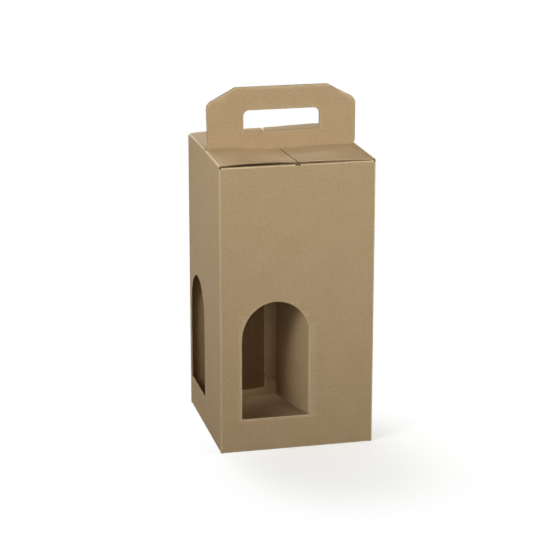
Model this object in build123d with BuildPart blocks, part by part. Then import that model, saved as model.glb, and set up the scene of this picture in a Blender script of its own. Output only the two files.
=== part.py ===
from build123d import *
import os

# A carry carton for four bottles, folded from one die-cut blank of brown micro-flute board.
# Frame: origin at the middle of the underside, +Z up, the front panel faces -Y. Millimetres.

# Driving dimensions
width = 180.0  # outside, across the front panel
depth = 180.0  # outside, across a side panel
lid_height = 338.0  # floor to the top of the closed lid
handle_rise = 70.4  # top of the lid to the top of the handle
board = 1.5  # thickness of the board
clearance = 0.3  # air left between a flap and what it lies beside
crease_radius = 1.5  # outside radius of a crease

# Windows: the same arched cut in each panel. Its right edge is a crease, seen from outside.
window_width = 80.0
window_sill = 40.0  # floor to the sill
window_side = 100.0  # straight side, sill to the start of the arch
divider_angle = 75.0  # how far a cut-out is folded in from its panel at rest
crease_offset = {"front": 15.0, "right": 0.0, "back": 15.0, "left": 0.0}  # right of the middle

# Lid: two inner flaps turn up into the handle, and four outer flaps lie on them.
seam_gap = 1.5  # between the left and the right outer flaps
flap_corner = 3.0  # radius of an outer flap's corners at the seam
vent_width = 6.0  # small slot at the middle of the front and back top creases
vent_depth = 3.0

# Handle
handle_top_width = 108.6
shoulder_drop = 18.0  # height of each sloping shoulder
shoulder_radius = 10.0
hand_hole_width = 90.0
hand_hole_height = 25.0
hand_hole_floor = 18.3  # top of the lid to the bottom of the hand hole
hand_hole_radius = 7.0

# Glued bottom and glued corner
bottom_step = 8.0  # how far the two outer bottom flaps hook past the middle
bottom_gap = 0.6
web_reach = 42.0  # inner bottom flaps, from the side panel inwards
tab_width = 30.0
tab_margin = 6.0  # the glue tab stops this far short of the top and the bottom

# Worked out
inner_width = width - 2 * board
inner_depth = depth - 2 * board
fold_height = lid_height - board - clearance  # top of the inner flaps
handle_width = inner_width - 2 * clearance
handle_face = clearance / 2 + board  # outer face of a handle half, from the middle plane
handle_top = lid_height + handle_rise
arch_radius = window_width / 2
window_spring = window_sill + window_side
panels = {
    "front": Plane(origin=(0, -depth / 2, 0), x_dir=(1, 0, 0), z_dir=(0, -1, 0)),
    "right": Plane(origin=(width / 2, 0, 0), x_dir=(0, 1, 0), z_dir=(1, 0, 0)),
    "back": Plane(origin=(0, depth / 2, 0), x_dir=(-1, 0, 0), z_dir=(0, 1, 0)),
    "left": Plane(origin=(-width / 2, 0, 0), x_dir=(0, -1, 0), z_dir=(-1, 0, 0)),
}

os.makedirs("parts", exist_ok=True)


def arched_outline(crease_x, inset):
    """Draw a window's outline, or a cut-out's, with its crease at crease_x and an edge inset."""
    with Locations((crease_x - arch_radius, window_spring)):
        Circle(arch_radius - inset)
    with Locations((crease_x - arch_radius, window_spring)):
        Rectangle(
            window_width - 2 * inset,
            window_side - inset,
            align=(Align.CENTER, Align.MAX),
        )


def finish(piece, label):
    """Label a finished piece and write it out."""
    piece.part.label = label
    export_step(piece.part, f"parts/{label}.step")


# Carton: panels, bottom, glue tab, inner lid flaps and handle are one folded sheet.
with BuildPart() as carton:
    with BuildSketch(Plane.XY):
        Rectangle(width, depth)
    extrude(amount=fold_height)
    fillet(carton.edges().filter_by(Axis.Z), radius=crease_radius)
    with BuildSketch(Plane.XY.offset(board)):
        Rectangle(inner_width, inner_depth)
    extrude(amount=fold_height, mode=Mode.SUBTRACT)

    # Arched windows
    for side, plane in panels.items():
        with BuildSketch(plane):
            arched_outline(crease_offset[side], 0)
        extrude(amount=-board, mode=Mode.SUBTRACT)

    # Seam of the two outer bottom flaps, which hook past each other at the middle
    with BuildSketch(Plane.XY):
        with BuildLine():
            Polyline(
                (-inner_width / 2, bottom_step),
                (-bottom_step, bottom_step),
                (bottom_step, -bottom_step),
                (inner_width / 2, -bottom_step),
            )
            offset(amount=bottom_gap / 2, side=Side.BOTH)
        make_face()
    extrude(amount=board, mode=Mode.SUBTRACT)

    # Inner bottom flaps, with mitred ends, glued down inside
    with BuildSketch(Plane.XY.offset(board)):
        with BuildLine():
            Polyline(
                (-inner_width / 2, -inner_depth / 2),
                (-inner_width / 2, inner_depth / 2),
                (web_reach - inner_width / 2, inner_depth / 2 - web_reach),
                (web_reach - inner_width / 2, web_reach - inner_depth / 2),
                close=True,
            )
        make_face()
        mirror(about=Plane.YZ)
    extrude(amount=board)

    # Glue tab of the back panel, inside the right panel
    with BuildSketch(panels["right"].offset(-board)):
        with Locations((inner_depth / 2, fold_height / 2)):
            Rectangle(
                tab_width,
                fold_height - 2 * board - 2 * tab_margin,
                align=(Align.MAX, Align.CENTER),
            )
    extrude(amount=-board)

    # Inner lid flaps: each runs from a wall to the middle plane
    with BuildSketch(Plane.XY.offset(fold_height - board)):
        for y_sign in (-1, 1):
            with Locations((0, y_sign * (inner_depth + clearance) / 4)):
                Rectangle(handle_width, (inner_depth - clearance) / 2)
    extrude(amount=board)

    # Handle halves, turned up from the inner lid flaps at the middle plane
    for back_face in (-clearance / 2, handle_face):
        with BuildSketch(Plane.XZ.offset(-back_face)) as handle_outline:
            with BuildLine():
                Polyline(
                    (-handle_width / 2, fold_height - board),
                    (-handle_width / 2, handle_top - shoulder_drop),
                    (-handle_top_width / 2, handle_top),
                    (handle_top_width / 2, handle_top),
                    (handle_width / 2, handle_top - shoulder_drop),
                    (handle_width / 2, fold_height - board),
                    close=True,
                )
            make_face()
            fillet(handle_outline.vertices().group_by(Axis.Y)[1], radius=shoulder_radius)
        extrude(amount=board)

    # Hand hole, through both halves
    with BuildSketch(Plane.XZ.offset(handle_face)) as hand_hole:
        with Locations((0, lid_height + hand_hole_floor)):
            Rectangle(hand_hole_width, hand_hole_height, align=(Align.CENTER, Align.MIN))
        fillet(hand_hole.vertices().group_by(Axis.Y)[-1], radius=hand_hole_radius)
    extrude(amount=-2 * handle_face, mode=Mode.SUBTRACT)

    # Small slots at the middle of the front and back top creases
    for side in ("front", "back"):
        with BuildSketch(panels[side]):
            with Locations((0, fold_height)):
                Rectangle(vent_width, board, align=(Align.CENTER, Align.MAX))
        extrude(amount=-vent_depth, mode=Mode.SUBTRACT)
finish(carton, "carton")

# Outer lid flaps: each is creased on a side panel and reaches the middle seam.
flap_reach = (width - seam_gap) / 2
flap_depth = depth / 2 - handle_face - 2 * clearance
for front_back, y_sign in (("front", -1), ("back", 1)):
    for left_right, x_sign in (("left", -1), ("right", 1)):
        with BuildPart() as top_flap:
            with BuildSketch(Plane.XY.offset(lid_height - board)) as flap_outline:
                y_middle = y_sign * (handle_face + clearance + flap_depth / 2)
                with Locations((x_sign * (width - flap_reach) / 2, y_middle)):
                    Rectangle(flap_reach, flap_depth)
                seam_corners = flap_outline.vertices().sort_by(
                    Axis.X, reverse=x_sign < 0
                )[:2]
                fillet(seam_corners, radius=flap_corner)
            extrude(amount=board)
            crease_edge = (
                top_flap.edges()
                .filter_by(Axis.Y)
                .group_by(Axis.X)[-1 if x_sign > 0 else 0]
                .sort_by(Axis.Z)[-1]
            )
            fillet(crease_edge, radius=crease_radius - clearance)
        finish(top_flap, f"top_flap_{front_back}_{left_right}")

# Dividers: each window's cut-out, folded in about its crease to stand between two bottles.
for side, plane in panels.items():
    pivot = plane.from_local_coords((crease_offset[side], 0, -board))
    folded = Plane(
        origin=pivot,
        x_dir=plane.x_dir.rotate(Axis.Z, -divider_angle),
        z_dir=plane.z_dir.rotate(Axis.Z, -divider_angle),
    )
    with BuildPart() as divider:
        with BuildSketch(folded):
            arched_outline(0, clearance)
        extrude(amount=board)
    finish(divider, f"divider_{side}")
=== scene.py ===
import math

import bmesh
import bpy
from mathutils import Matrix, Vector


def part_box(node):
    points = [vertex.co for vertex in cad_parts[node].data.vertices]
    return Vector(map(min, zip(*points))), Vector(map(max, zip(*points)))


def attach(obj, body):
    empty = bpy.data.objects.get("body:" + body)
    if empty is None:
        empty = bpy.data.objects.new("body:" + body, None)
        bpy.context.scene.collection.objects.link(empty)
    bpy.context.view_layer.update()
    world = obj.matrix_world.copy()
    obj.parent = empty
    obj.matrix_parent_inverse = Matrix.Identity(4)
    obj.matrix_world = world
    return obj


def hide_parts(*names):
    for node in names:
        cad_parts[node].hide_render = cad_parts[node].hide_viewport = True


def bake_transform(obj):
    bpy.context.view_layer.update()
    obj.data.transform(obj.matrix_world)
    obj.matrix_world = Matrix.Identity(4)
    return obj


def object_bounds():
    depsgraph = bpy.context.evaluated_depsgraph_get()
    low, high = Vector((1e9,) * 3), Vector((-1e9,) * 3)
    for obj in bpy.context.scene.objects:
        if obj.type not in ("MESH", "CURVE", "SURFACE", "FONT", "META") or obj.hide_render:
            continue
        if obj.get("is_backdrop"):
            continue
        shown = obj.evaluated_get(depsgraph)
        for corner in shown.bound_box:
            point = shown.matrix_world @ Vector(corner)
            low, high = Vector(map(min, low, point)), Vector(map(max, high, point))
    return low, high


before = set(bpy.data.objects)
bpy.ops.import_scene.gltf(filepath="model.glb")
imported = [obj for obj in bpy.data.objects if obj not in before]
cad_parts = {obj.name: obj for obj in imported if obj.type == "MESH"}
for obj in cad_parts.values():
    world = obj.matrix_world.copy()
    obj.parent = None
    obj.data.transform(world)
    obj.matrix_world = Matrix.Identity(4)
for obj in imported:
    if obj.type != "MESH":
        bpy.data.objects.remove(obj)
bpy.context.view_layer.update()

# ---------------------------------------------------------------------------
# The board
# Brown micro-flute board, 1.5 mm thick: two liners of unbleached kraft paper glued to a wavy
# middle sheet. The flutes run up the walls, and print as faint ribs through the outer liner.
mm = 0.001
lid_low, lid_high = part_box("top_flap_front_left")
board = lid_high.z - lid_low.z
flute_pitch = 3.2 * mm


def srgb(code):
    """Turn a hex colour into linear red, green, blue and alpha."""
    channels = [int(code[i:i + 2], 16) / 255 for i in (1, 3, 5)]
    linear = [c / 12.92 if c <= 0.04045 else ((c + 0.055) / 1.055) ** 2.4 for c in channels]
    return (*linear, 1.0)


def add(tree, kind, inputs=None, **settings):
    """Add a node with its settings. Each input is a value, or an output socket to link."""
    node = tree.nodes.new(kind)
    for name, value in settings.items():
        setattr(node, name, value)
    for name, value in (inputs or {}).items():
        if isinstance(value, bpy.types.NodeSocket):
            tree.links.new(value, node.inputs[name])
        else:
            node.inputs[name].default_value = value
    return node


def new_material(name):
    """Make an empty material, and return it with its node tree."""
    material = bpy.data.materials.new(name)
    material.use_nodes = True
    material.node_tree.nodes.clear()
    return material, material.node_tree


def kraft_liner(name, body, pale, dark, whitening_and_highlight_colour, roughness, rib):
    """Unbleached kraft paper, machine made: a cloudy formation, long fibres, odd dark shives.

    The pattern follows the blank's own flat coordinates, so it turns each crease unbroken.
    """
    material, tree = new_material(name)
    flat = add(tree, "ShaderNodeAttribute", attribute_name="flat")
    place = add(tree, "ShaderNodeVectorMath", {0: flat.outputs["Vector"], "Scale": 1 / mm},
                operation="SCALE").outputs[0]
    cloud = add(tree, "ShaderNodeTexNoise", {"Vector": place, "Scale": 0.035, "Detail": 3.0})
    formation = add(tree, "ShaderNodeTexNoise", {"Vector": place, "Scale": 0.33, "Detail": 4.0,
                                                 "Roughness": 0.65})
    # Real fibres are 0.03 mm wide: they are drawn as bundles 0.4 mm wide, so that they show.
    stretched = add(tree, "ShaderNodeVectorMath", {0: place, 1: (0.45, 2.6, 1.0)},
                    operation="MULTIPLY").outputs[0]
    fibres = add(tree, "ShaderNodeTexNoise", {"Vector": stretched, "Scale": 1.0, "Detail": 5.0,
                                              "Roughness": 0.7, "Distortion": 0.6})
    shives = add(tree, "ShaderNodeTexNoise", {"Vector": stretched, "Scale": 0.55, "Detail": 1.0})
    split = add(tree, "ShaderNodeSeparateXYZ", {0: place})
    wave = add(tree, "ShaderNodeMath", {0: split.outputs[0], 1: 2 * math.pi * mm / flute_pitch},
               operation="MULTIPLY")
    ribs = add(tree, "ShaderNodeMath", {0: wave.outputs[0]}, operation="SINE")
    tone = add(tree, "ShaderNodeMix", {"Factor": cloud.outputs["Fac"], "A": srgb(body),
                                       "B": srgb(pale)}, data_type="RGBA")
    for source, low, high, colour, strength in (
        (formation, 0.46, 0.72, pale, 0.42),
        (formation, 0.52, 0.30, dark, 0.26),
        (fibres, 0.54, 0.74, pale, 0.55),
        (fibres, 0.44, 0.24, dark, 0.40),
        (shives, 0.30, 0.20, dark, 0.60),
    ):
        amount = add(tree, "ShaderNodeMapRange", {"Value": source.outputs["Fac"], "From Min": low,
                                                  "From Max": high, "To Max": strength})
        tone = add(tree, "ShaderNodeMix", {"Factor": amount.outputs[0],
                                           "A": tone.outputs["Result"],
                                           "B": srgb(colour)}, data_type="RGBA")
    ribbed = add(tree, "ShaderNodeMapRange", {"Value": ribs.outputs[0], "From Min": -1.0,
                                              "To Max": rib})
    tone = add(tree, "ShaderNodeMix", {"Factor": ribbed.outputs[0], "A": tone.outputs["Result"],
                                       "B": srgb(dark)}, data_type="RGBA")
    # Creases and cut edges are painted paler: partly the liner whitening where it stretches, partly a
    # painted highlight on the rounded fold and the pressed edge.
    crease = add(tree, "ShaderNodeAttribute", attribute_name="crease")
    whitening_and_highlight = add(tree, "ShaderNodeMath", {0: crease.outputs["Fac"], 1: formation.outputs["Fac"]},
                  operation="MULTIPLY")
    whitening_and_highlight_amount = add(tree, "ShaderNodeMapRange", {"Value": whitening_and_highlight.outputs[0],
                                                       "From Max": 0.55, "To Max": 0.62})
    tone = add(tree, "ShaderNodeMix", {"Factor": whitening_and_highlight_amount.outputs[0],
                                       "A": tone.outputs["Result"],
                                       "B": srgb(whitening_and_highlight_colour)}, data_type="RGBA")
    relief = add(tree, "ShaderNodeMath", {0: fibres.outputs["Fac"], 1: 1.2, 2: ribs.outputs[0]},
                 operation="MULTIPLY_ADD")
    bump = add(tree, "ShaderNodeBump", {"Height": relief.outputs[0], "Distance": 0.022 * mm,
                                        "Strength": 1.0})
    shader = add(tree, "ShaderNodeBsdfPrincipled", {
        "Base Color": tone.outputs["Result"], "Roughness": roughness, "Normal": bump.outputs[0],
        "IOR": 1.45, "Specular IOR Level": 0.32})
    add(tree, "ShaderNodeOutputMaterial", {"Surface": shader.outputs[0]})
    return material


# The outer liner is calendered, with a soft sheen; the eye sees warm brown with paler fibres.
outer_liner = kraft_liner("kraft_outer_liner", "#b29873", "#bda480", "#937a57", "#dcc8a2",
                          0.62, 0.055)
# The inner liner is the rough side of the same paper: matt, a little browner.
inner_liner = kraft_liner("kraft_inner_liner", "#ac926c", "#b79d78", "#8b714e", "#c3ab84",
                          0.85, 0.09)


def fluted_edge():
    """Die-cut edge of micro-flute board: two thin liners, the wavy sheet, and painted shade in the
    hollows between them.
    """
    material, tree = new_material("board_cut_edge")
    flat = add(tree, "ShaderNodeAttribute", attribute_name="flat")
    split = add(tree, "ShaderNodeSeparateXYZ", {0: flat.outputs["Vector"]})
    along = add(tree, "ShaderNodeMath", {0: split.outputs[0], 1: 2 * math.pi / flute_pitch},
                operation="MULTIPLY")
    wave = add(tree, "ShaderNodeMath", {0: along.outputs[0]}, operation="SINE")
    middle = add(tree, "ShaderNodeMath", {0: wave.outputs[0], 1: 0.5 * mm, 2: board / 2},
                 operation="MULTIPLY_ADD")
    off_wave = add(tree, "ShaderNodeMath", {0: split.outputs[2], 1: middle.outputs[0]},
                   operation="SUBTRACT")
    from_wave = add(tree, "ShaderNodeMath", {0: off_wave.outputs[0]}, operation="ABSOLUTE")
    on_medium = add(tree, "ShaderNodeMapRange", {"Value": from_wave.outputs[0],
                                                 "From Min": 0.13 * mm, "From Max": 0.30 * mm,
                                                 "To Min": 1.0, "To Max": 0.0})
    off_middle = add(tree, "ShaderNodeMath", {0: split.outputs[2], 1: board / 2},
                     operation="SUBTRACT")
    from_middle = add(tree, "ShaderNodeMath", {0: off_middle.outputs[0]}, operation="ABSOLUTE")
    on_liner = add(tree, "ShaderNodeMapRange", {"Value": from_middle.outputs[0],
                                                "From Min": 0.42 * mm, "From Max": 0.58 * mm})
    paper = add(tree, "ShaderNodeMath", {0: on_medium.outputs[0], 1: on_liner.outputs[0]},
                operation="MAXIMUM")
    place = add(tree, "ShaderNodeVectorMath", {0: flat.outputs["Vector"], "Scale": 1 / mm},
                operation="SCALE").outputs[0]
    grain = add(tree, "ShaderNodeTexNoise", {"Vector": place, "Scale": 1.6, "Detail": 3.0})
    fluff = add(tree, "ShaderNodeMix", {"Factor": grain.outputs["Fac"], "A": srgb("#8f7552"),
                                        "B": srgb("#b39a74")}, data_type="RGBA")
    # Between the paper lines, the flute hollows are painted dark brown: painted shade on a flat face.
    tone = add(tree, "ShaderNodeMix", {"Factor": paper.outputs[0], "A": srgb("#57442b"),
                                       "B": fluff.outputs["Result"]}, data_type="RGBA")
    bump = add(tree, "ShaderNodeBump", {"Height": paper.outputs[0], "Distance": 0.15 * mm,
                                        "Strength": 0.6})
    shader = add(tree, "ShaderNodeBsdfPrincipled", {
        "Base Color": tone.outputs["Result"], "Roughness": 0.9, "Normal": bump.outputs[0],
        "IOR": 1.45, "Specular IOR Level": 0.15})
    add(tree, "ShaderNodeOutputMaterial", {"Surface": shader.outputs[0]})
    return material


# The cut edge is raw: the eye sees a darker brown line, partly the painted shade of its hollows, and
# close up the wave between liners.
cut_edge = fluted_edge()


# ---------------------------------------------------------------------------
# The blank
# One sheet of the board, die-cut flat, creased and folded. It is drawn on the plane of the front
# panel, outer face to the front: u runs right and v up. A crease is a strip bent in steps.
_, carton_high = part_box("carton")
half = carton_high.x
rim_radius = 0.22 * mm  # a die-cut edge is pressed a little round


class Blank:
    """A flat sheet of board that can be cut, creased, folded and given its thickness."""

    def __init__(self):
        self.mesh = bmesh.new()
        self.flat = self.mesh.verts.layers.float_vector.new("flat")
        self.crease = self.mesh.verts.layers.float.new("crease")

    def cut(self, points, rounded=()):
        """Draw a closed cutting line; rounded lists (corners, length cut back from each)."""
        verts = [self.mesh.verts.new((u, -half, v)) for u, v in points]
        self.mesh.faces.new(verts)
        for corners, back in rounded:
            bmesh.ops.bevel(self.mesh, geom=[verts[i] for i in corners], offset=back,
                            offset_type="OFFSET", affect="VERTICES", segments=8, profile=0.5,
                            material=-1, clamp_overlap=False)

    def score(self, along, places, snap=1e-6):
        """Divide the sheet by lines at these places along u (0) or v (1)."""
        axis = (1, 0, 0) if along == 0 else (0, 0, 1)
        for place in places:
            point = Vector((place, 0, 0)) if along == 0 else Vector((0, 0, place))
            everything = self.mesh.verts[:] + self.mesh.edges[:] + self.mesh.faces[:]
            bmesh.ops.bisect_plane(self.mesh, geom=everything, dist=snap, plane_co=point,
                                   plane_no=axis)

    def stamp(self, scores_u, scores_v, spacing):
        """Fill the outline, divide it finely enough to bend, and keep its flat coordinates."""
        mesh = self.mesh
        bmesh.ops.remove_doubles(mesh, verts=mesh.verts[:], dist=0.01 * mm)
        bmesh.ops.delete(mesh, geom=mesh.faces[:], context="FACES_ONLY")
        bmesh.ops.triangle_fill(mesh, use_beauty=True, edges=mesh.edges[:],
                                normal=Vector((0, -1, 0)))
        bmesh.ops.dissolve_limit(mesh, angle_limit=0.01, verts=[], edges=mesh.edges[:])
        self.score(0, scores_u)
        self.score(1, scores_v)
        for along, scores in ((0, scores_u), (1, scores_v)):
            low = min(vert.co[2 * along] for vert in mesh.verts)
            high = max(vert.co[2 * along] for vert in mesh.verts)
            lines = [low + spacing * (i + 1) for i in range(int((high - low) / spacing))]
            clear = [p for p in lines if all(abs(p - s) > 0.3 * spacing for s in scores)]
            self.score(along, clear, snap=0.5 * mm)
        for vert in mesh.verts:
            vert[self.flat] = (vert.co.x, vert.co.z, 0)

    def bend(self, along, start, length, turn, only=lambda u, v: True, steps=6):
        """Bend the strip from start, length wide, and carry all that lies beyond it."""
        sign = 1 if length > 0 else -1
        near = 0.02 * mm
        chosen = [vert for vert in self.mesh.verts if only(vert[self.flat].x, vert[self.flat].y)]
        for step in range(steps + 1):
            line = start + length * step / steps
            on_line = [v for v in chosen if abs(v[self.flat][along] - line) < near]
            on_line.sort(key=lambda v: v[self.flat][1 - along])
            beyond = [v for v in chosen if (v[self.flat][along] - line) * sign > near]
            share = turn / steps * (0.5 if step in (0, steps) else 1.0)
            middle = len(on_line) // 2
            axis = on_line[middle].co - on_line[middle - 1].co
            bmesh.ops.rotate(self.mesh, cent=on_line[middle].co, verts=beyond,
                             matrix=Matrix.Rotation(share, 3, axis))
            # The strip is marked for the paler crease paint: liner whitening and a painted highlight.
            if 0 < step < steps:
                for vert in on_line:
                    vert[self.crease] = 1.0

    def stretch(self, left, right, low, high, factor):
        """Stretch upwards, from low, what is drawn between these limits."""
        for vert in self.mesh.verts:
            u, v = vert.co.x, vert.co.z
            if left - 1e-6 < u < right + 1e-6 and low < v < high + 1e-6:
                vert.co.z = low + (v - low) * factor

    def shift(self, rule):
        """Move each point by what rule gives for its flat coordinates and its place."""
        for vert in self.mesh.verts:
            vert.co += rule(vert[self.flat].x, vert[self.flat].y, vert.co)

    def turn(self, angle):
        """Turn the sheet about the upright line through the middle of the carton."""
        bmesh.ops.rotate(self.mesh, cent=(0, 0, 0), verts=self.mesh.verts[:],
                         matrix=Matrix.Rotation(angle, 3, "Z"))

    def thicken(self):
        """Give the sheet its thickness inwards; flat's third value is the depth in the board."""
        mesh = self.mesh
        bmesh.ops.remove_doubles(mesh, verts=mesh.verts[:], dist=0.01 * mm)
        outer = set(mesh.verts)
        bmesh.ops.solidify(mesh, geom=mesh.faces[:], thickness=board)
        for vert in mesh.verts:
            if vert not in outer:
                u, v, _ = vert[self.flat]
                vert[self.flat] = (u, v, board)
        for face in mesh.faces:
            outside = sum(vert in outer for vert in face.verts)
            face.smooth = True
            face.material_index = 0 if outside == len(face.verts) else 2 if outside else 1
        rims = [edge for edge in mesh.edges
                if sorted(face.material_index for face in edge.link_faces) in ([0, 2], [1, 2])]
        rounded = bmesh.ops.bevel(mesh, geom=rims, offset=rim_radius, offset_type="OFFSET",
                                  affect="EDGES", segments=2, profile=0.5, material=0,
                                  clamp_overlap=False)
        # Cut edges are painted paler, about half as much as a crease: a painted highlight along the
        # pressed round edge.
        for vert in rounded["verts"]:
            vert[self.crease] = max(vert[self.crease], 0.5)

    def finish(self, name):
        """Make the object, with its three finishes."""
        data = bpy.data.meshes.new(name)
        self.mesh.to_mesh(data)
        self.mesh.free()
        for material in (outer_liner, inner_liner, cut_edge):
            data.materials.append(material)
        piece = bpy.data.objects.new(name, data)
        bpy.context.scene.collection.objects.link(piece)
        return piece


# ---------------------------------------------------------------------------
# Carton
# Four panels, the bottom, the glue tab, the inner lid flaps and the two handle halves: one
# folded sheet, glued at the back right corner and at the bottom.
lid_top = lid_high.z
handle_top = carton_high.z
crease_radius = 1.8 * mm  # outside radius of a folded crease
crease_length = crease_radius * math.pi / 2
panel_flat = half - crease_radius  # half of a panel's flat width
fold_top = lid_low.z - 0.3 * mm  # outer face of the inner lid flaps
panel_pitch = 2 * panel_flat + crease_length
wall_crease = fold_top - crease_radius
side_wall_top = lid_top - crease_radius - 0.5 * mm
handle_face = -(0.15 * mm + board)  # outer face of the front handle half
foot_radius = crease_radius - board
foot_length = foot_radius * math.pi / 2
flap_start = wall_crease + crease_length
foot_start = flap_start + panel_flat + handle_face - foot_radius
foot_end = foot_start + foot_length
handle_rise = handle_top - fold_top - foot_radius
handle_half_width = half - board - 0.5 * mm
shoulder_drop = 18 * mm  # the handle's cut corners: down the side, and half the top's width
crown_half_width = 54.3 * mm
root = panel_flat - 0.8 * mm  # a flap's root stops short of the corners
window_radius = 40 * mm
window_rise = 94.5 * mm  # from the sill to where the arch springs
window_sill = {"front": 39.5 * mm, "back": 39.5 * mm, "left": 37 * mm, "right": 37 * mm}
arch_stretch = 1.11  # the arch is a little taller than a half circle
tab_width = 30 * mm
# Each window's crease, from the middle of its panel, and each panel's middle on the blank
crease_at = {"front": 15 * mm, "right": 0, "back": 15 * mm, "left": 0}
middle_of = {"back": -2 * panel_pitch, "left": -panel_pitch, "front": 0, "right": panel_pitch}
tab_crease = middle_of["back"] - panel_flat + board  # the tab folds inside the right panel
raw_edge = middle_of["right"] + half - 0.6 * mm


def strip(start, length, steps=6):
    """The lines of one crease, with one more just outside each side to keep the panels flat."""
    margin = math.copysign(0.6 * mm, length)
    lines = [start + length * i / steps for i in range(steps + 1)]
    return [start - margin, *lines, start + length + margin]


def smooth(value):
    """Ease from 0 to 1."""
    value = max(0.0, min(1.0, value))
    return value * value * (3 - 2 * value)


def curve(points, place):
    """Height at place of a smooth curve through points, each (place, height)."""
    last = len(points) - 1
    place = max(points[0][0], min(points[last][0], place))
    i = max(k for k in range(last) if points[k][0] <= place)
    slopes = []
    for k in (i, i + 1):
        before, after = points[max(k - 1, 0)], points[min(k + 1, last)]
        slopes.append((after[1] - before[1]) / (after[0] - before[0]))
    (x0, y0), (x1, y1) = points[i], points[i + 1]
    width = x1 - x0
    t = (place - x0) / width
    return (y0 * (1 + 2 * t) * (1 - t) ** 2 + y1 * t * t * (3 - 2 * t)
            + slopes[0] * width * t * (1 - t) ** 2 - slopes[1] * width * t * t * (1 - t))


bow_start = 220 * mm  # height at which the side walls begin to bow in
left_bow, right_bow = 1.8 * mm, 0.3 * mm


def bow(point):
    """How far a point near the lid moves with the side walls, which bow in there.

    The left wall bows the most.
    """
    height = smooth((point.z - bow_start) / (lid_top - bow_start))
    height *= 1 - 0.4 * smooth((point.z - fold_top) / (8 * mm))
    height *= 1 - smooth((point.z - lid_top) / (60 * mm))
    across = math.cos(max(-1.0, min(1.0, point.y / half)) * math.pi / 2)
    depth = left_bow if point.x < 0 else right_bow
    return Vector((-depth * height * across * point.x / half, 0, 0))


def inner_lid_line(middle):
    """Cutting line of an inner lid flap and its handle half, right to left."""
    wide = handle_half_width
    corner = flap_start + 4 * mm
    crown = foot_end + handle_rise
    shoulder = crown - shoulder_drop
    return [(middle + u, v) for u, v in (
        (root, wall_crease), (root, corner - 2 * mm), (wide, corner), (wide, shoulder),
        (crown_half_width, crown), (-crown_half_width, crown), (-wide, shoulder),
        (-wide, corner), (-root, corner - 2 * mm), (-root, wall_crease))]


def bottom_line(middle, outline):
    """Cutting line of a bottom flap, left to right, with a slit at each end of its crease."""
    wide, slit = bottom_root, bottom_root + 0.6 * mm
    return [(middle + u, v) for u, v in (
        (-slit, corner_foot), (-slit, crease_radius), (-wide, crease_radius), (-wide, -2.2 * mm),
        *outline, (wide, -2.2 * mm), (wide, crease_radius), (slit, crease_radius),
        (slit, corner_foot))]


corner_foot = 0.2 * mm  # the wall corners stop this far above the table
bottom_root = panel_flat - 2.4 * mm
bottom_lines = [-2.2 * mm, -3.4 * mm, -4.6 * mm, -6 * mm]  # where the bottom flaps ease up
hook, hook_gap = 8 * mm, 0.3 * mm
hook_side = half - 7 * mm
reach = crease_radius - crease_length - panel_flat + hook_gap  # where the two hooks meet
outer_flap = ((-hook_side, -6 * mm), (-hook_side, reach - hook), (-hook, reach - hook),
              (hook, reach + hook), (hook_side, reach + hook), (hook_side, -6 * mm))
mitre = 44 * mm
inner_flap = ((mitre - bottom_root, -mitre), (bottom_root - mitre, -mitre))
# The cutting line starts at the glue tab and runs along the bottom, then back along the top.
die_line = [(tab_crease - crease_length - tab_width, 20 * mm),
            (tab_crease - crease_length - 2 * mm, 8 * mm), (tab_crease, 8 * mm),
            (tab_crease, corner_foot)]
for name in ("back", "left", "front", "right"):
    outline = outer_flap if name in ("back", "front") else inner_flap
    die_line += bottom_line(middle_of[name], outline)
die_line += [(raw_edge, corner_foot), (raw_edge, side_wall_top)]
for name in ("right", "front", "left", "back"):
    if name in ("front", "back"):
        die_line += inner_lid_line(middle_of[name])
    else:
        # The right panel's far corner is the raw edge, which is already drawn.
        ends = (-panel_flat,) if name == "right" else (panel_flat, -panel_flat)
        die_line += [(middle_of[name] + u, side_wall_top) for u in ends]
die_line += [(tab_crease, wall_crease), (tab_crease, 330 * mm),
             (tab_crease - crease_length - 2 * mm, 330 * mm),
             (tab_crease - crease_length - tab_width, 316 * mm)]
shoulder_back = 10 * mm * math.tan(math.radians(31))  # rounding of the handle's shoulders
shoulder_level = foot_end + handle_rise - shoulder_drop
shoulders = [i for i, (u, v) in enumerate(die_line) if abs(v - shoulder_level) < 1e-6]
carton = Blank()
carton.cut(die_line, [(shoulders, shoulder_back)])
for name, middle in middle_of.items():
    right = middle + crease_at[name]
    left = right - 2 * window_radius
    sill = window_sill[name]
    top = sill + window_rise + window_radius
    carton.cut([(left, sill), (right, sill), (right, top), (left, top)], [((2, 3), window_radius)])
    carton.stretch(left, right, sill + window_rise, top, arch_stretch)
hole_above_lid, hole_height, hole_half_width, hole_corner = 18.3 * mm, 25 * mm, 45 * mm, 7 * mm
hole_floor = foot_end + lid_top + hole_above_lid - fold_top - foot_radius
slot_low, slot_high = wall_crease + crease_length / 6, flap_start + 0.6 * mm
slot_half_width = 3 * mm  # the small slot at the middle of the top crease
for name in ("front", "back"):
    middle = middle_of[name]
    for low, high, wide, rounded in (
        (hole_floor, hole_floor + hole_height, hole_half_width, [((2, 3), hole_corner)]),
        (slot_low, slot_high, slot_half_width, ()),
    ):
        carton.cut([(middle - wide, low), (middle + wide, low), (middle + wide, high),
                    (middle - wide, high)], rounded)
corner_creases = [panel_flat, -panel_flat - crease_length, -3 * panel_flat - 2 * crease_length]
carton.stamp(
    [line for start in corner_creases for line in strip(start, crease_length)]
    + strip(tab_crease, -crease_length),
    bottom_lines
    + strip(crease_radius, -crease_length) + strip(wall_crease, crease_length)
    + strip(foot_start, foot_length, 4),
    spacing=12 * mm)
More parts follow.
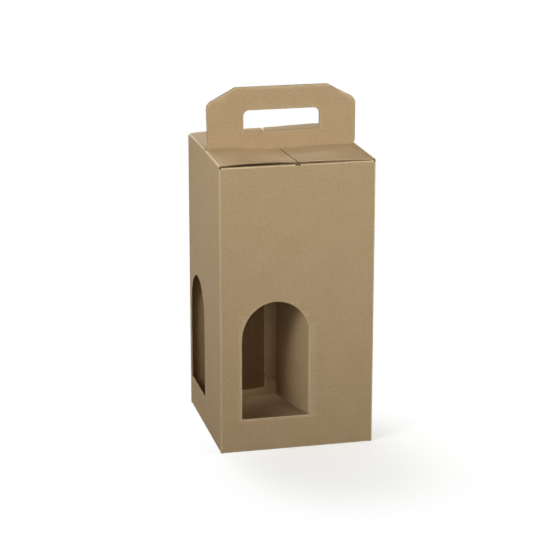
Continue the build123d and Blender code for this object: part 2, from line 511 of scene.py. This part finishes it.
for name, middle in middle_of.items():
    def in_flap(u, v):
        width = half if v > flap_start else root if v > 0.5 * lid_top else bottom_root
        return abs(u - middle) < width + 0.05 * mm

    carton.bend(1, crease_radius, -crease_length, math.pi / 2, in_flap)
    if name in ("front", "back"):
        carton.bend(1, wall_crease, crease_length, -math.pi / 2, in_flap)
        carton.bend(1, foot_start, foot_length, math.pi / 2, in_flap, steps=4)
carton.bend(0, panel_flat, crease_length, math.pi / 2)
carton.bend(0, tab_crease, -crease_length, -math.pi / 2, lambda u, v: v < 332 * mm)
carton.bend(0, -panel_flat - panel_pitch, -crease_length, -math.pi / 2)
carton.bend(0, -panel_flat, -crease_length, -math.pi / 2)


# Depth in mm to which the handle foot is pressed in, at places in mm across the lid
foot_sag = ((-90, 1.9), (-45, 3.2), (-5, 4.0), (20, 4.2), (50, 3.0), (90, 2.2))
sag_height = 18 * mm  # the sag dies out this far up the handle
handle_aside = 2.0 * mm  # the handle stands a little to the right


def lie(u, v, place):
    """How the folded sheet lies: one pair of bottom flaps on the other, the handle foot pressed in."""
    shift = bow(place)
    side = min(abs(u - middle_of["left"]), abs(u - middle_of["right"]))
    if v < 0 and side < bottom_root + 0.1 * mm:
        shift.z += (board + 0.1 * mm) * smooth((-v - 1 * mm) / (5 * mm))
    if v > wall_crease and abs(place.x) < half - board - 0.2 * mm:
        inward = smooth((half - abs(place.y)) / half)
        near_lid = 1 - smooth((place.z - fold_top) / sag_height)
        shift.z -= curve(foot_sag, place.x / mm) * mm * inward * near_lid
        shift.x += handle_aside * smooth((place.z - fold_top) / (5 * mm))
    return shift


carton.shift(lie)
carton.thicken()
carton_piece = carton.finish("carton_board")
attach(carton_piece, "carton")
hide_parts("carton")


# ---------------------------------------------------------------------------
# Outer lid flaps
# Four flaps creased to the side walls. They close over the inner flaps and meet at the middle,
# and they don't lie quite flat: the handle foot holds them down and their free edges lift.
flap_crease = lid_top - crease_radius
flap_tip = flap_crease + crease_length + panel_flat + lid_high.x
flap_near, flap_far = 1.95 * mm, half - 0.4 * mm
flap_root = flap_far - 1.8 * mm  # a little narrower at the crease
# Rise of each flap in mm, at places in mm across: along its outer edge, then along the handle
lid_rise = {
    "front_left": (((-90, 0.6), (-66, 2.3), (-43, 2.7), (-28, 2.4), (-4, 1.1), (0, 0.9)),
                   ((-90, -1.4), (-82, -1.1), (-70, 1.2), (-55, 0.2), (-39, -1.2), (-23, -2.4),
                    (-7, -2.9), (0, -2.7))),
    "front_right": (((0, 1.2), (33, 0.8), (60, 0.2), (90, -0.8)),
                    ((0, -2.7), (12, -3.4), (20, -3.1), (32, -2.0), (48, -1.6), (65, -1.2),
                     (90, -1.8))),
    "back_left": (((-90, 0.3), (-70, 1.3), (-20, 2.5), (0, 2.5)),
                  ((-90, -1.4), (-70, 0.3), (-40, -0.8), (0, -2.8))),
    "back_right": (((0, 3.0), (17, 3.2), (31, 3.9), (46, 4.4), (64, 4.9), (80, 3.6), (90, 0.2)),
                   ((0, -3.6), (30, -2.0), (60, -1.3), (90, -1.8))),
}


def settle(piece, rule):
    """Move each point of a finished piece by what rule gives for its place."""
    for vert in piece.data.vertices:
        vert.co += rule(vert.co)
    piece.data.update()


for name, (edge_rise, foot_rise) in lid_rise.items():
    right_side = name.endswith("right")
    # Seen from outside, the front half of the right wall is at its left; the left wall's at its right.
    side = -1 if name.startswith("front") == right_side else 1
    flap = Blank()
    flap.cut([(side * u, v) for u, v in (
        (flap_near, side_wall_top), (flap_root, side_wall_top),
        (flap_root, flap_crease + crease_length + 1 * mm),
        (flap_far, flap_crease + crease_length + 5 * mm), (flap_far, flap_tip),
        (flap_near, flap_tip))], [((4, 5), 3 * mm)])
    flap.stamp([], strip(flap_crease, crease_length), spacing=6 * mm)
    flap.bend(1, flap_crease, crease_length, -math.pi / 2)
    flap.turn(math.pi / 2 if right_side else -math.pi / 2)
    flap.thicken()
    piece = flap.finish("lid_flap_" + name)
    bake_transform(piece)
    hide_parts("top_flap_" + name)

    def lift(place):
        x, y = place.x / mm, abs(place.y) / half
        rise = curve(foot_rise, x) + (curve(edge_rise, x) - curve(foot_rise, x)) * y ** 1.4
        return bow(place) + Vector((0, 0, rise * mm * smooth((half - abs(place.x)) / (4.5 * mm))))

    settle(piece, lift)


# ---------------------------------------------------------------------------
# Dividers
# The windows' cut-outs, creased along one upright edge and folded in between the bottles. The
# crease takes most of the turn, and the board takes the rest in a slow curve.
panel_turn = {"front": 0, "right": math.pi / 2, "back": math.pi, "left": -math.pi / 2}
divider_turn = math.radians(75)
divider_crease = crease_radius * divider_turn
cut_gap = 0.25 * mm
belly_depth = 1.6 * mm  # of the slow curve
for name, turned in panel_turn.items():
    hinge = crease_at[name]
    left = hinge - 2 * window_radius + cut_gap
    sill = window_sill[name]
    top = sill + window_rise + window_radius - cut_gap
    divider = Blank()
    divider.cut([(left, sill + cut_gap), (hinge, sill + cut_gap), (hinge, top), (left, top)],
                [((2, 3), window_radius - cut_gap / 2)])
    divider.stretch(left, hinge, sill + window_rise, top, arch_stretch)
    divider.stamp(strip(hinge, -divider_crease)[1:], [], spacing=8 * mm)
    divider.bend(0, hinge, -divider_crease, -divider_turn)
    divider.turn(turned)
    divider.thicken()
    piece = divider.finish("divider_flap_" + name)
    spin = Matrix.Rotation(turned, 3, "Z")
    start = spin @ Vector((hinge, -half, lid_top / 4))
    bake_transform(piece)
    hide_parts("divider_" + name)
    face = spin @ Vector((-math.sin(divider_turn), -math.cos(divider_turn), 0))

    def belly(place):
        share = (place - start).to_2d().length / (2 * window_radius)
        return face * 4 * belly_depth * share * max(0.0, 1 - share)

    settle(piece, belly)


# ---------------------------------------------------------------------------
# The room
# A white table and four large soft lights: the strongest at the right and behind, weaker ones at
# the left and above. Two small gridded ones lighten the lid and the handle.
def studio_floor():
    """White table: white to the camera away from the carton, and it keeps the soft shadow."""
    material, tree = new_material("studio_floor")
    path = add(tree, "ShaderNodeLightPath")
    matt = add(tree, "ShaderNodeBsdfDiffuse", {"Color": srgb("#c8c8c4")})
    pale = add(tree, "ShaderNodeBsdfDiffuse", {"Color": srgb("#f2f4f4")})
    glow = add(tree, "ShaderNodeEmission", {"Color": srgb("#ffffff"), "Strength": 0.31})
    both = add(tree, "ShaderNodeAddShader", {0: pale.outputs[0], 1: glow.outputs[0]})
    white = add(tree, "ShaderNodeEmission", {"Color": srgb("#ffffff"), "Strength": 1.0})
    place = add(tree, "ShaderNodeTexCoord")
    distance = add(tree, "ShaderNodeVectorMath", {0: place.outputs["Object"],
                                                  1: (0.04, -0.14, 0.0)}, operation="DISTANCE")
    away = add(tree, "ShaderNodeMapRange", {"Value": distance.outputs["Value"],
                                            "From Min": 0.05, "From Max": 0.19},
               interpolation_type="SMOOTHSTEP")
    plain = add(tree, "ShaderNodeMixShader", {"Fac": away.outputs[0], 1: both.outputs[0],
                                              2: white.outputs[0]})
    seen = add(tree, "ShaderNodeMixShader", {"Fac": path.outputs["Is Camera Ray"],
                                             1: matt.outputs[0], 2: plain.outputs[0]})
    add(tree, "ShaderNodeOutputMaterial", {"Surface": seen.outputs[0]})
    return material


floor_mesh = bmesh.new()
bmesh.ops.create_grid(floor_mesh, x_segments=1, y_segments=1, size=6.0,
                      matrix=Matrix.Translation((0, 0, -0.05 * mm)))
floor_data = bpy.data.meshes.new("studio_floor")
floor_mesh.to_mesh(floor_data)
floor_mesh.free()
floor_data.materials.append(studio_floor())
floor = bpy.data.objects.new("studio_floor", floor_data)
bpy.context.scene.collection.objects.link(floor)
floor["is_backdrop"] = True

world = bpy.data.worlds.new("studio")
bpy.context.scene.world = world
world.use_nodes = True
world.node_tree.nodes.clear()
path = add(world.node_tree, "ShaderNodeLightPath")
room = add(world.node_tree, "ShaderNodeBackground", {"Color": srgb("#fffaf2"), "Strength": 0.18})
white = add(world.node_tree, "ShaderNodeBackground", {"Color": srgb("#ffffff"), "Strength": 1.0})
direct = add(world.node_tree, "ShaderNodeMath", {0: path.outputs["Is Camera Ray"],
                                                 1: path.outputs["Is Transmission Ray"]},
             operation="MAXIMUM")
backdrop = add(world.node_tree, "ShaderNodeMixShader", {"Fac": direct.outputs[0],
                                                        1: room.outputs[0], 2: white.outputs[0]})
add(world.node_tree, "ShaderNodeOutputWorld", {"Surface": backdrop.outputs[0]})


def softbox(name, place, aim, size, power, spread=180):
    """A square area lamp at place, facing aim; a grid narrows its spread, in degrees."""
    lamp = bpy.data.lights.new(name, "AREA")
    lamp.shape = "SQUARE"
    lamp.size = size
    lamp.energy = power
    lamp.spread = math.radians(spread)
    holder = bpy.data.objects.new(name, lamp)
    holder.location = place
    holder.rotation_euler = (Vector(aim) - Vector(place)).to_track_quat("-Z", "Y").to_euler()
    bpy.context.scene.collection.objects.link(holder)


carton_middle = (0, 0, 0.2)
softbox("right_light", (1.4, -0.6, 0.8), carton_middle, 0.8, 12.2)
softbox("left_light", (-1.2, -0.6, 0.8), carton_middle, 0.8, 4.2)
softbox("top_light", (0.0, 0.2, 1.5), carton_middle, 0.8, 2.6)
softbox("back_light", (-0.3, 1.6, 1.0), carton_middle, 0.9, 13.0)
softbox("left_grid_light", (-0.8, -0.6, 0.9), (-0.09, -0.02, 0.38), 0.4, 0.36, 40)
softbox("right_grid_light", (1.2, -1.3, 0.5), (0.08, -0.09, 0.36), 0.4, 0.3, 32)

lens = bpy.data.cameras.new("camera")
lens.sensor_width = 36.0
lens.lens = 131.2
camera = bpy.data.objects.new("camera", lens)
yaw, pitch = math.radians(13.22), math.radians(16.20)
camera.location = (-0.5183, -2.159, 0.8336)
facing = Vector((math.sin(yaw) * math.cos(pitch), math.cos(yaw) * math.cos(pitch), -math.sin(pitch)))
camera.rotation_euler = facing.to_track_quat("-Z", "Y").to_euler()
bpy.context.scene.collection.objects.link(camera)
bpy.context.scene.camera = camera
bpy.context.scene.view_settings.view_transform = "Standard"

low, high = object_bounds()
